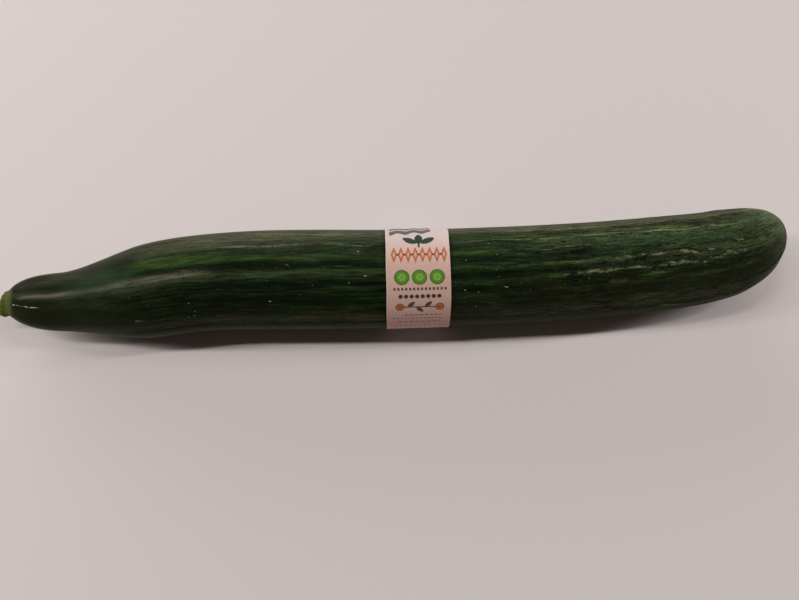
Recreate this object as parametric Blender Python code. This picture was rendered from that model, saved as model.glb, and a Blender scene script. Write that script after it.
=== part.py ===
"""A long greenhouse cucumber lying on its side, with the cut stub of its stem and the paper band that is wrapped round its middle.

Frame: +X runs from the stem end to the blossom end, +Z is up, and the origin is on the surface that it rests on, under
the middle of its box. Everything is in metres.
"""

import math

import bpy
import numpy as np

MM = 0.001

# ---------------------------------------------------------------- the fruit
# The body is a loft of round sections along a gently bowed spine. Each row is a section: how far along X it is, how far
# the spine is to the side there (Y), and the body's radius. All in millimetres, the stem end first.
SECTIONS = (
    (-173.0, 3.5, 14.2),  # neck, at the stem end
    (-155.0, 2.0, 14.4),  # the thinnest place of the neck
    (-137.0, 2.0, 18.0),  # the neck opens into the shoulder
    (-119.0, 2.5, 22.0),
    (-95.0, 4.3, 23.3),
    (-55.0, 3.0, 24.0),  # the thickest place
    (5.0, -1.3, 23.8),  # under the paper band
    (65.0, -4.0, 23.5),
    (110.0, -4.5, 23.4),
    (145.0, -3.0, 22.8),
    (170.0, 1.0, 21.4),
    (189.0, 10.0, 20.5),  # the blossom end turns to +Y
)
STEM_END_X, STEM_CAP_LENGTH = -185.5, 27.0  # the rounded end at the stem
STEM_CAP_POWER = 0.57  # 0.5 would round it off as an ellipse; this is a little more pointed
BLOSSOM_END_X, BLOSSOM_CAP_LENGTH = 193.0, 32.0  # the rounded end at the blossom scar
SEAT_RADIUS = 5.8  # the small flat that the stem stub grows from
SEAT_OFFSET = (-0.3, -1.4)  # the seat is below and a little in front of the middle of the end: Y, Z
SCAR_RADIUS = 2.1  # the blossom scar

# The underside has settled flat in a narrow strip. Half its width, seen from the spine, in degrees.
FLAT_HALF_ANGLE = math.radians(7.5)
# The neck and the blossom end curve up from the surface: where the rise starts, where it ends, and how high it goes.
NECK_LIFT = (-117.0, -160.0, 5.6)
BLOSSOM_LIFT = (140.0, 195.0, 5.0)

# ---------------------------------------------------------------- the paper band
BAND_START_X, BAND_END_X = -1.8, 26.9
BAND_GAP = 0.3  # between the skin and the band
BAND_THICKNESS = 0.3  # paper, glue and the overlap together

# ---------------------------------------------------------------- the stem stub
STEM_GAP = 0.3
STEM_LENGTH = 11.3
# A thick collar where it grows from the fruit, and then the stalk: how far along the stub, and the radius there.
STEM_RADII = (
    (0.0, 5.9),
    (0.06, 6.0),
    (0.13, 5.8),
    (0.22, 5.4),
    (0.27, 5.0),
    (0.31, 4.3),
    (0.36, 3.7),
    (0.45, 3.4),
    (0.75, 3.3),
    (1.0, 3.4),
)
STEM_BEND = (0.13, 0.38)  # the part of the length in which the stalk moves off the collar's middle
STEM_OFFSET = (-2.5, -1.1)  # how far the stalk is off it: Y, Z
STEM_RIDGE = 0.07  # five soft ridges, as a part of the radius
STEM_SIDES = 20

AROUND = 32  # points round each section of the body


def natural_cubic(xs, ys):
    """A natural cubic spline through the points, as a function of x."""
    xs, ys = np.array(xs, float), np.array(ys, float)
    n, h = len(xs), np.diff(xs)
    a, b = np.eye(n), np.zeros(n)
    for i in range(1, n - 1):
        a[i, i - 1], a[i, i], a[i, i + 1] = h[i - 1], 2 * (h[i - 1] + h[i]), h[i]
        b[i] = 6 * ((ys[i + 1] - ys[i]) / h[i] - (ys[i] - ys[i - 1]) / h[i - 1])
    m = np.linalg.solve(a, b)

    def value(x):
        i = int(np.clip(np.searchsorted(xs, x) - 1, 0, n - 2))
        left, right = x - xs[i], xs[i + 1] - x
        return (
            m[i] * right**3 / (6 * h[i])
            + m[i + 1] * left**3 / (6 * h[i])
            + (ys[i] / h[i] - m[i] * h[i] / 6) * right
            + (ys[i + 1] / h[i] - m[i + 1] * h[i] / 6) * left
        )

    return value


side_at = natural_cubic([s[0] for s in SECTIONS], [s[1] for s in SECTIONS])
radius_at = natural_cubic([s[0] for s in SECTIONS], [s[2] for s in SECTIONS])


def eased(x, start, end):
    """0 before start, 1 past end, and a smooth rise between them."""
    t = min(max((x - start) / (end - start), 0.0), 1.0)
    return t * t * (3 - 2 * t)


def lift_at(x):
    """How far the underside is above the surface."""
    return sum(
        height * eased(x, start, end)
        for start, end, height in (NECK_LIFT, BLOSSOM_LIFT)
    )


def spine_at(x):
    """The middle of the body at x."""
    height = radius_at(x) * math.cos(FLAT_HALF_ANGLE) + lift_at(x)
    return np.array([x, side_at(x), height])


def frame_at(x):
    """The spine's direction at x, the sideways direction and the upward direction of the section there."""
    along = spine_at(x + 0.05) - spine_at(x - 0.05)
    along /= np.linalg.norm(along)
    side = np.cross([0.0, 0.0, 1.0], along)
    side /= np.linalg.norm(side)
    return along, side, np.cross(along, side)


def end_factor(x):
    """How much of the body's radius is left where the two ends round off."""
    stem = min(max((x - STEM_END_X) / STEM_CAP_LENGTH, 0.0), 1.0)
    blossom = min(max((BLOSSOM_END_X - x) / BLOSSOM_CAP_LENGTH, 0.0), 1.0)
    return (1 - (1 - stem) ** 2) ** STEM_CAP_POWER * math.sqrt(1 - (1 - blossom) ** 2)


def x_of_factor(factor, end_x, length, power=0.5):
    """The x at which an end has shrunk to this part of the body's radius. length is signed, pointing into the body."""
    return end_x + length * (1 - math.sqrt(1 - factor ** (1 / power)))


def angles():
    """Round a section, from one edge of the flat strip to the other, measured from straight down."""
    return np.linspace(FLAT_HALF_ANGLE, 2 * math.pi - FLAT_HALF_ANGLE, AROUND)


def section(x, grow, floor):
    """One ring of points of the body at x, its radius made larger by grow, and nothing lower than floor."""
    _, side, up = frame_at(x)
    factor = end_factor(x)
    radius = radius_at(x) * factor + grow
    centre = spine_at(x)
    if x < STEM_END_X + STEM_CAP_LENGTH:
        seat = SEAT_RADIUS / radius_at(x)
        moved = ((1 - factor) / (1 - seat)) ** 2.2
        centre = centre + moved * np.array([0.0, *SEAT_OFFSET])
    ring = np.array(
        [centre + radius * (math.sin(a) * side - math.cos(a) * up) for a in angles()]
    )
    ring[:, 2] = np.where(ring[:, 2] < floor + 0.02, floor, ring[:, 2])
    return ring


def floor_of_fruit(x):
    """The skin's lowest height: it leaves room for the band where the band goes under it."""
    room = BAND_GAP + BAND_THICKNESS
    return room * min(
        1 - eased(x, BAND_END_X + 0.6, BAND_END_X + 2.6),
        eased(x, BAND_START_X - 2.6, BAND_START_X - 0.6),
    )


def stations():
    """Where the fruit's rings are: close together at the two ends and at the edges of the band."""
    seat = SEAT_RADIUS / radius_at(STEM_END_X)
    scar = SCAR_RADIUS / radius_at(BLOSSOM_END_X)
    xs = []
    for t in np.linspace(math.asin(seat), math.pi / 2, 9):
        xs.append(x_of_factor(math.sin(t), STEM_END_X, STEM_CAP_LENGTH, STEM_CAP_POWER))
    stem_body = STEM_END_X + STEM_CAP_LENGTH
    xs += list(np.linspace(stem_body, BAND_START_X - 2.6, 17)[1:])
    xs += [BAND_START_X - 0.6]
    xs += list(band_stations())
    xs += [BAND_END_X + 0.6]
    blossom_body = BLOSSOM_END_X - BLOSSOM_CAP_LENGTH
    xs += list(np.linspace(BAND_END_X + 2.6, blossom_body, 14))
    for t in np.linspace(math.pi / 2, math.asin(scar), 10)[1:]:
        xs.append(x_of_factor(math.sin(t), BLOSSOM_END_X, -BLOSSOM_CAP_LENGTH))
    return xs


def band_stations():
    return np.linspace(BAND_START_X, BAND_END_X, 6)


def object_from_rings(name, rings, material, ring_round=False):
    """A closed body through rings of points in millimetres. Its ends are closed flat, or joined if it is a ring itself."""
    count, around = len(rings), len(rings[0])
    points = [tuple(p * MM) for ring in rings for p in ring]
    faces = []
    for i in range(count if ring_round else count - 1):
        j = (i + 1) % count
        for k in range(around):
            m = (k + 1) % around
            faces.append(
                (i * around + k, i * around + m, j * around + m, j * around + k)
            )
    if not ring_round:
        faces.append(tuple(reversed(range(around))))
        faces.append(tuple((count - 1) * around + k for k in range(around)))
    mesh = bpy.data.meshes.new(name)
    mesh.from_pydata(points, [], faces)
    mesh.validate()
    mesh.materials.append(material)
    mesh.shade_smooth()
    mesh.set_sharp_from_angle(angle=math.radians(40))
    made = bpy.data.objects.new(name, mesh)
    bpy.context.scene.collection.objects.link(made)
    return made


def material(name, colour, roughness, metallic=0.0):
    made = bpy.data.materials.new(name)
    made.use_nodes = True
    shader = made.node_tree.nodes["Principled BSDF"]
    shader.inputs["Base Color"].default_value = (*colour, 1.0)
    shader.inputs["Roughness"].default_value = roughness
    shader.inputs["Metallic"].default_value = metallic
    return made


def fruit():
    """The whole fruit is one solid: flesh and skin grew as one."""
    rings = [section(x, 0.0, floor_of_fruit(x)) for x in stations()]
    return object_from_rings("fruit", rings, material("skin", (0.022, 0.05, 0.012), 0.3))


def label_band():
    """The paper band, a thin closed ring. Its outer face is flat on the surface, like the strips of skin beside it."""
    xs = band_stations()
    outer = [section(x, BAND_GAP + BAND_THICKNESS, 0.0) for x in xs]
    inner = [section(x, BAND_GAP, BAND_THICKNESS) for x in xs]
    return object_from_rings(
        "label_band",
        outer + inner[::-1],
        material("paper", (0.74, 0.62, 0.57), 0.6),
        ring_round=True,
    )


def stem_stub():
    """The short piece of stalk left on the fruit, with five soft ridges, a collar at the fruit and a straight cut."""
    seat_x = stations()[0]
    along, side, up = frame_at(seat_x)
    seat = section(seat_x, 0.0, 0.0).mean(axis=0)
    turns = np.linspace(0, 2 * math.pi, STEM_SIDES, endpoint=False)
    rings = []
    for part, radius in reversed(STEM_RADII):
        centre = seat - along * (STEM_GAP + STEM_LENGTH * part)
        centre = centre + eased(part, *STEM_BEND) * np.array([0.0, *STEM_OFFSET])
        rings.append(
            np.array(
                [
                    centre
                    + radius
                    * (1 + STEM_RIDGE * part**0.5 * math.cos(5 * a))
                    * (math.sin(a) * side - math.cos(a) * up)
                    for a in turns
                ]
            )
        )
    return object_from_rings("stem_stub", rings, material("stalk", (0.14, 0.13, 0.05), 0.6))


def main():
    for old in list(bpy.data.objects):
        bpy.data.objects.remove(old, do_unlink=True)
    fruit()
    stem_stub()
    label_band()


main()
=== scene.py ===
"""The looks of a long greenhouse cucumber: its ribbed, waxy skin, the stub of its stem and the paper band round its middle.

Lengths in the tables below are in millimetres, and angles in degrees. The angle phi runs round a section of the fruit:
0 looks at the camera, positive goes down the near side, and 90 is the lower edge that the camera sees.
"""

import math

import bpy
import numpy as np
from mathutils import Matrix, Vector


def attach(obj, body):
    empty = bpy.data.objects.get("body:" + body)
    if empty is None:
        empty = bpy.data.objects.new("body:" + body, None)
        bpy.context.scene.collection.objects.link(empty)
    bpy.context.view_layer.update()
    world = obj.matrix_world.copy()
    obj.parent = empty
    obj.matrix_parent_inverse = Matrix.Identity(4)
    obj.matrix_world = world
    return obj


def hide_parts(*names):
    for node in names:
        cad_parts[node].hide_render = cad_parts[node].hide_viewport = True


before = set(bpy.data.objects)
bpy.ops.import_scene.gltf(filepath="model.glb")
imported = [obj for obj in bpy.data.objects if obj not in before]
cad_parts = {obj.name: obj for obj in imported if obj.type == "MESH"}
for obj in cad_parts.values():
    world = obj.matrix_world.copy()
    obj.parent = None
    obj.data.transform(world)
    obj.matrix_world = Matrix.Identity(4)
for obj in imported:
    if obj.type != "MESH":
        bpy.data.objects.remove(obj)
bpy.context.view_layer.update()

MM = 0.001
rng = np.random.default_rng(20240611)

# ------------------------------------------------------------------ the fruit's shape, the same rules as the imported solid
SECTIONS = np.array(
    (
        (-173.0, 3.5, 14.2),
        (-155.0, 2.0, 14.4),
        (-137.0, 2.0, 18.0),
        (-119.0, 2.5, 22.0),
        (-95.0, 4.3, 23.3),
        (-55.0, 3.0, 24.0),
        (5.0, -1.3, 23.8),
        (65.0, -4.0, 23.5),
        (110.0, -4.5, 23.4),
        (145.0, -3.0, 22.8),
        (170.0, 1.0, 21.4),
        (189.0, 10.0, 20.5),
    )
)
STEM_END_X, STEM_CAP, STEM_CAP_POWER = -185.5, 27.0, 0.57
BLOSSOM_END_X, BLOSSOM_CAP = 193.0, 32.0
SEAT_RADIUS, SEAT_OFFSET = 5.8, np.array([0.0, -0.3, -1.4])
FLAT = math.radians(7.5)
NECK_LIFT = (-117.0, -160.0, 5.6)
BLOSSOM_LIFT = (140.0, 195.0, 5.0)
BAND_START_X, BAND_END_X = -1.8, 26.9
FACING = 203.0  # the angle from straight down, by way of +Y, at which phi is 0


def natural_cubic(xs, ys):
    n, h = len(xs), np.diff(xs)
    a, b = np.eye(n), np.zeros(n)
    for i in range(1, n - 1):
        a[i, i - 1], a[i, i], a[i, i + 1] = h[i - 1], 2 * (h[i - 1] + h[i]), h[i]
        b[i] = 6 * ((ys[i + 1] - ys[i]) / h[i] - (ys[i] - ys[i - 1]) / h[i - 1])
    m = np.linalg.solve(a, b)

    def value(x):
        x = np.asarray(x, float)
        i = np.clip(np.searchsorted(xs, x) - 1, 0, n - 2)
        left, right, hi = x - xs[i], xs[i + 1] - x, h[i]
        return (
            m[i] * right**3 / (6 * hi)
            + m[i + 1] * left**3 / (6 * hi)
            + (ys[i] / hi - m[i] * hi / 6) * right
            + (ys[i + 1] / hi - m[i + 1] * hi / 6) * left
        )

    return value


side_at = natural_cubic(SECTIONS[:, 0], SECTIONS[:, 1])
radius_at = natural_cubic(SECTIONS[:, 0], SECTIONS[:, 2])


def eased(x, start, end):
    t = np.clip((np.asarray(x, float) - start) / (end - start), 0.0, 1.0)
    return t * t * (3 - 2 * t)


def spine_at(x):
    lift = sum(h * eased(x, a, b) for a, b, h in (NECK_LIFT, BLOSSOM_LIFT))
    return np.stack([x, side_at(x), radius_at(x) * math.cos(FLAT) + lift], -1)


def frames_at(x):
    along = spine_at(x + 0.05) - spine_at(x - 0.05)
    along /= np.linalg.norm(along, axis=-1, keepdims=True)
    side = np.cross([0.0, 0.0, 1.0], along)
    side /= np.linalg.norm(side, axis=-1, keepdims=True)
    return along, side, np.cross(along, side)


def end_factor(x):
    stem = np.clip((x - STEM_END_X) / STEM_CAP, 0, 1)
    blossom = np.clip((BLOSSOM_END_X - x) / BLOSSOM_CAP, 0, 1)
    return (1 - (1 - stem) ** 2) ** STEM_CAP_POWER * np.sqrt(1 - (1 - blossom) ** 2)


def x_at_stem(factor):
    """Where the stem end has shrunk to this part of the body's radius."""
    return STEM_END_X + STEM_CAP * (1 - math.sqrt(max(0.0, 1 - factor ** (1 / STEM_CAP_POWER))))


def centres_at(x, factor):
    centre = spine_at(x)
    seat = SEAT_RADIUS / radius_at(x)
    moved = np.where(
        x < STEM_END_X + STEM_CAP, np.clip((1 - factor) / (1 - seat), 0, 1) ** 2.2, 0
    )
    return centre + moved[:, None] * SEAT_OFFSET


# ------------------------------------------------------------------ smooth noise made of a few waves, for the shapes
def waves(count, scale_x, scale_a, seed):
    """A smooth random field over the length x and the angle a, which closes round the fruit. About -1 to 1."""
    r = np.random.default_rng(seed)
    kx = r.normal(0, 1 / scale_x, count)
    ka = np.round(r.normal(0, 24 / scale_a, count))
    phase = r.uniform(0, 2 * math.pi, count)

    def value(x, a):
        total = sum(np.sin(kx[i] * x + ka[i] * a + phase[i]) for i in range(count))
        return total / math.sqrt(count / 2) / 1.6

    return value


# The soft ridges that run along the fruit: phi at (x, phi) points, the ridge's height in millimetres and its width in degrees.
RIDGES = [
    (((-185, -64), (-60, -63), (30, -58), (190, -58)), 0.30, 2.3),
    (((-185, -38), (-97, -38), (-60, -39), (30, -41), (100, -42), (145, -39), (180, -33)), 0.36, 1.8),
    (((-185, -20), (-90, -24), (40, -25.5), (84, -28), (120, -24), (185, -20)), 0.16, 1.6),
    (((-185, -6), (-60, -5), (40, -9), (94, -11), (134, -9), (165, -8), (185, -6)), 0.24, 2.1),
    (((-185, 6), (-60, 9), (40, 8), (93, 3), (138, 3), (160, 0), (185, 2)), 0.26, 2.2),
    (((-185, 20), (0, 22), (110, 22), (185, 16)), 0.24, 2.0),
    (((-185, 42), (-90, 43), (30, 41), (112, 42), (185, 40)), 0.28, 2.2),
    (((-185, 60), (-60, 61), (40, 58), (130, 60), (185, 62)), 0.30, 2.2),
]
HIDDEN = (79, 97, 114, 133, 151, 170, 189, 208, 226, 243, 261, 279)  # the same on the side that the camera doesn't see
for phi in HIDDEN:
    lean = rng.uniform(-3, 3)
    RIDGES.append((((-185, phi - lean), (0, phi), (185, phi + lean)), rng.uniform(0.2, 0.34), rng.uniform(1.6, 2.3)))

# The skin's streaks, each as (width in degrees, (x, phi, strength), (x, phi, strength), ...).
STREAKS = {
    # pale yellow-green lines on the ridges
    "pale": [
        (2.6, (-92, -58, 0.3), (-86, -61, 0.5), (-62, -62, 0.7), (-41, -60, 0.75), (-23, -58, 0.6), (-2, -58, 0.55)),
        (1.6, (28, -59, 0.7), (52, -57, 0.3), (59, -58, 0.8), (64, -56, 0.8), (68, -56, 0.4), (80, -57, 0.9), (99, -58, 0.3), (118, -56, 0.4)),
        (1.9, (-91, -36, 0.15), (-73, -38, 0.7), (-62, -38, 0.9), (-52, -38, 1), (-47, -40, 0.9), (-40, -40, 0.8)),
        (1.4, (-40, -40, 0.8), (-27, -40, 0.8), (-20, -38, 0.7), (-11, -38, 0.85), (-2, -40, 0.8)),
        (1.5, (27, -41, 0.7), (46, -42, 0.7), (53, -42, 1), (61, -41, 1), (67, -40, 0.6), (77, -42, 0.95), (97, -42, 0.8), (104, -43, 1), (116, -42, 0.8), (125, -41, 1), (138, -38, 0.9), (154, -40, 0.8), (163, -37, 0.6), (171, -35, 0.4)),
        (0.9, (63, -26, 0.1), (68, -26, 0.5), (72, -26, 0.9), (86, -29, 0.8), (92, -30, 0.6), (97, -30, 0.1)),
        (0.8, (37, 32, 0.3), (39, 32, 0.7), (46, 33, 0.6), (48, 33, 0.2)),
        (1.3, (57, 58, 0.3), (68, 56, 0.6), (77, 56, 0.5), (87, 58, 0.3)),
        (1.9, (118, 62, 0.2), (125, 58, 0.6), (133, 60, 0.6), (145, 68, 0.4)),
        (0.7, (156, 15, 0.4), (161, 16, 0.7), (165, 17, 0.6)),
        (0.9, (-58, -3, 0.2), (-55, -4, 0.8), (-52, -4, 0.6), (-50, -3, 0.1)),
    ],
    # vivid green bands between them
    "vivid": [
        (3.4, (-117, -26, 0.1), (-109, -29, 0.7), (-98, -29, 0.7), (-84, -28, 0.45), (-72, -28, 0.1)),
        (4.1, (-119, -21, 0.1), (-112, -23, 0.7), (-107, -24, 0.9), (-99, -22, 0.85), (-88, -22, 0.8), (-75, -22, 0.7), (-53, -23, 0.6), (-40, -22, 0.45), (-26, -22, 0.4), (-17, -21, 0.5), (-2, -18, 0.4)),
        (3.5, (-72, -2, 0.15), (-56, -4, 0.4), (-48, -6, 0.6), (-39, -7, 0.65), (-13, -6, 0.55), (-2, -7, 0.45)),
        (2.6, (-35, 15, 0.05), (-28, 15, 0.2), (-20, 12, 0.25), (-11, 12, 0.3), (-2, 10, 0.25)),
        (1.5, (-38, -43, 0.2), (-29, -43, 0.6), (-18, -42, 0.7), (-2, -46, 0.5)),
        (3.2, (27, -25, 0.7), (38, -25, 0.75), (49, -25, 0.75), (56, -24, 0.5), (62, -20, 0.15)),
        (2.4, (27, -8, 0.7), (40, -7, 0.7), (58, -6, 0.5), (67, -8, 0.7), (85, -8, 0.75), (94, -10, 0.7), (105, -10, 0.5)),
        (2.6, (27, 8, 0.35), (40, 9, 0.35), (57, 7, 0.3), (68, 6, 0.5), (78, 5, 0.6)),
        (3.0, (28, -49, 0.4), (51, -47, 0.6), (88, -47, 0.5), (107, -48, 0.7), (121, -47, 0.7), (140, -46, 0.5)),
        (2.4, (109, 11, 0.1), (114, 12, 0.6), (118, 10, 0.9), (124, 10, 0.5), (129, 9, 0.1)),
        (3.0, (135, -14, 0.3), (139, -13, 0.5), (155, -12, 0.6), (162, -8, 0.3)),
        (3.6, (-47, 35, 0.05), (-40, 34, 0.25), (-35, 34, 0.2), (-27, 34, 0.05), (-20, 34, 0.15), (-2, 32, 0.2)),
        (3.2, (29, 24, 0.1), (50, 30, 0.2)),
        (3.6, (47, 54, 0.15), (59, 50, 0.35), (77, 48, 0.35), (95, 46, 0.2)),
        (4.3, (134, 20, 0.1), (149, 16, 0.35), (160, 16, 0.4), (167, 15, 0.2)),
        (5.0, (91, -28, 0.1), (110, -20, 0.35), (140, -20, 0.45), (160, -26, 0.3)),
        (4.0, (27, -14, 0.1), (34, -12, 0.35), (55, -12, 0.35), (66, -10, 0.1)),
        (4.4, (96, 20, 0.1), (112, 17, 0.35), (134, 18, 0.3), (150, 22, 0.1)),
    ],
    "dark": [
        (1.5, (-76, -42, 0.2), (-73, -42, 0.7), (-65, -43, 0.9), (-53, -44, 0.9), (-45, -46, 0.5), (-36, -46, 0.2)),
        (2.2, (-99, -34, 0.3), (-84, -33, 0.7), (-66, -32, 0.7), (-35, -32, 0.7), (-2, -32, 0.7)),
        (1.8, (-83, -12, 0.2), (-66, -12, 0.7), (-52, -12, 0.5), (-26, -12, 0.5), (-2, -13, 0.3)),
        (2.9, (-68, 3, 0.4), (-52, 3, 0.7), (-39, 4, 0.8), (-18, 5, 0.9), (-2, 6, 0.9)),
        (2.1, (27, -36, 0.7), (41, -34, 0.8), (55, -33, 0.5), (68, -32, 0.3)),
        (3.1, (32, -16, 0.3), (49, -14, 0.5), (58, -18, 0.6), (70, -20, 0.7), (87, -20, 0.3)),
        (2.5, (27, 0, 0.7), (44, 0, 0.7), (55, -2, 0.9), (71, -2, 0.7), (93, -4, 0.8), (107, -4, 0.9), (120, -2, 0.9), (134, -1, 0.6)),
        (2.1, (78, 10, 0.3), (89, 10, 0.8), (102, 9, 0.8), (111, 9, 0.5)),
        (2.4, (132, 10, 0.4), (149, 8, 0.6), (163, 8, 0.5)),
        (2.6, (27, 48, 0.2), (49, 47, 0.4), (67, 45, 0.4)),
    ],
    # teal: partly the skin's own colour, partly a painted highlight where the lamps catch the wax on the neck's
    # shoulder and at the tip
    "teal": [
        (2.1, (159, -38, 0.3), (166, -37, 0.7), (171, -36, 1), (177, -31, 1), (181, -26, 0.4)),
        (6.5, (86, -34, 0.2), (105, -31, 0.6), (118, -31, 0.9), (132, -28, 0.8), (150, -27, 0.5), (162, -25, 0.2)),
        (3.0, (156, -45, 0.2), (166, -43, 0.9), (176, -39, 1), (184, -33, 0.4)),
        (1.1, (133, -31, 0.2), (138, -32, 0.8), (145, -32, 0.9), (150, -32, 0.4)),
        (6.9, (167, -49, 0.3), (174, -43, 0.6), (181, -30, 0.7), (189, -10, 0.4)),
        (9.5, (-150, -26, 0.2), (-138, -28, 0.7), (-126, -26, 0.8), (-116, -22, 0.6), (-108, -18, 0.1)),
        (2.3, (-86, 0, 0.2), (-82, 0, 0.6), (-78, 0, 0.2)),
        (6.5, (-152, -12, 0.1), (-144, -13, 0.7), (-134, -13, 0.9), (-124, -12, 0.7), (-114, -10, 0.2)),
        (2.5, (-37, -18, 0.1), (-33, -18, 0.7), (-30, -19, 0.2)),
    ],
    # pale mottling, where the skin is finely cracked
    "fleck": [
        (2.3, (81, -10, 0.25), (94, -10, 0.6), (99, -10, 0.3), (107, -12, 0.9), (121, -10, 0.95), (126, -10, 0.3), (132, -10, 0.9), (139, -6, 0.9), (142, -4, 0.2)),
        (2.5, (74, 6, 0.2), (79, 4, 0.6), (91, 2, 0.9), (100, 3, 0.9), (102, 2, 0.4), (107, 2, 0.9), (112, 3, 0.9), (116, 3, 0.6), (126, 2, 0.9), (134, 2, 0.9), (141, 4, 0.8), (143, 4, 0.2)),
        (2.9, (142, 2, 0.3), (149, 2, 0.6), (153, -2, 0.9), (161, 0, 0.9), (165, 1, 0.5)),
        (1.7, (148, -22, 0.3), (150, -22, 0.9), (153, -22, 0.9), (156, -19, 0.3)),
        (1.6, (158, -18, 0.3), (160, -16, 1), (162, -15, 0.9), (165, -13, 0.4)),
        (1.3, (142, -10, 0.3), (144, -10, 0.9), (147, -9, 0.8), (148, -8, 0.2)),
        (1.1, (126, -22, 0.3), (128, -22, 0.8), (130, -21, 0.7), (133, -17, 0.4), (137, -16, 0.6)),
        (1.3, (104, -16, 0.2), (106, -16, 0.6), (109, -16, 0.8), (110, -16, 0.2)),
        (2.6, (77, -53, 0.2), (98, -51, 0.4), (108, -49, 0.7), (121, -47, 0.6), (139, -44, 0.5), (156, -42, 0.5)),
        (1.8, (165, -8, 0.4), (170, -6, 0.6), (176, -4, 0.4)),
    ],
    # brownish olive patches
    "olive": [
        (2.0, (-165, -38, 0.3), (-162, -40, 0.9), (-158, -40, 1), (-156, -40, 0.2)),
        (2.4, (97, 16, 0.3), (99, 15, 0.9), (105, 16, 0.9), (107, 16, 0.2)),
        (2.6, (105, 39, 0.2), (112, 38, 0.6), (119, 38, 0.7), (125, 36, 0.2)),
        (1.9, (-52, -22, 0.2), (-47, -23, 0.6), (-40, -22, 0.6), (-33, -22, 0.2)),
        (4.0, (-158, -49, 0.3), (-147, -44, 0.5), (-138, -34, 0.3)),
        (6.8, (-110, -45, 0.2), (-102, -46, 0.5), (-91, -48, 0.4), (-85, -48, 0.1)),
        (1.9, (27, 28, 0.2), (35, 24, 0.5), (49, 25, 0.3)),
        (1.9, (67, 19, 0.2), (75, 19, 0.4), (89, 20, 0.2)),
    ],
    "yellow": [
        (6.0, (148, 64, 0.1), (163, 60, 0.35), (176, 52, 0.5), (188, 40, 0.4)),
        (4.0, (-122, -29, 0.1), (-112, -29, 0.35), (-98, -28, 0.4), (-84, -27, 0.3), (-70, -26, 0.05)),
        (5.3, (164, -7, 0.3), (168, -6, 0.8), (172, -4, 0.9), (177, 2, 0.4)),
    ],
    # painted sheen and highlight: grey where the skin would reflect its surroundings at a glancing angle, on the
    # shoulders and along the lower side, and a beige streak along the neck where the lamps' highlight falls
    "painted_sheen": [
        (13, (-160, -58, 0.25), (-140, -58, 0.3), (-122, -56, 0.3), (-108, -54, 0.45), (-98, -54, 0.6), (-84, -55, 0.85), (-63, -55, 1), (-49, -56, 1), (-35, -57, 0.95), (-21, -58, 0.9), (-2, -58, 0.9)),
        (9, (27, -63, 1), (77, -63, 1), (119, -63, 1), (161, -63, 1), (190, -60, 1)),
        (8, (-165, 58, 0.2), (-140, 56, 0.25), (-120, 52, 0.25), (-91, 52, 0.3), (-63, 51, 0.4), (-20, 50, 0.5), (-2, 50, 0.5)),
        (8, (-178, -12, 0.3), (-165, -11, 0.4), (-150, -9, 0.35), (-138, -6, 0.15), (-120, -4, 0.15), (-104, -2, 0.1)),
        (3.6, (-171, -11, 0.3), (-164, -11, 1), (-157, -11.5, 1), (-150, -12, 0.9), (-144, -12, 0.45), (-136, -11, 0.1), (-126, -10, 0.2), (-117, -10, 0.6), (-105, -9, 1), (-91, -8, 0.7), (-78, -7, 0.2)),
        (8, (-90, 76, 0.5), (-60, 77, 0.6), (-4, 77, 0.5)),
        (11, (27, 48, 0.25), (77, 50, 0.35), (130, 46, 0.35), (160, 46, 0.25)),
    ],
    # painted light: paler green where the lamps light the upper side most, and along the lamps' highlight on the neck
    "painted_lit_side": [
        (12, (27, -38, 0.35), (49, -36, 0.4), (77, -36, 0.7), (105, -36, 0.75), (133, -36, 1), (161, -38, 1), (190, -30, 1)),
        (11, (27, -12, 0.1), (91, -8, 0.2), (133, -6, 0.4), (161, -10, 0.55), (190, 0, 1)),
        (8, (170, 16, 0.1), (190, 12, 0.6)),
        (9, (-112, -38, 0.4), (-91, -38, 0.5), (-63, -36, 0.4), (-30, -32, 0.4), (-2, -30, 0.35)),
        (5.5, (-150, -8, 0.2), (-136, -5, 0.3), (-119, -3, 0.4), (-100, -3, 0.7), (-70, -3, 0.5), (-30, -2, 0.4), (-2, -4, 0.3)),
        (8, (-160, 8, 0.1), (-148, 9, 0.3), (-133, 12, 0.35), (-118, 18, 0.2), (-100, 18, 0.1)),
        (6, (-142, -20, 0.1), (-132, -20, 0.4), (-119, -17, 0.4), (-112, -14, 0.1)),
    ],
    # nearly black, a little brown
    "brown": [
        (20, (27, 36, 0.35), (63, 30, 0.5), (105, 27, 0.85), (161, 26, 0.9), (186, 30, 0.5)),
        (13, (-104, 32, 0.1), (-70, 30, 0.25), (-35, 34, 0.2), (-10, 40, 0.1)),
        (17, (-176, -34, 0.8), (-147, -38, 0.7), (-124, -42, 0.2)),
        (18, (-180, 20, 1), (-165, 22, 0.8), (-140, 34, 0.6), (-110, 46, 0.4)),
    ],
}
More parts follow.
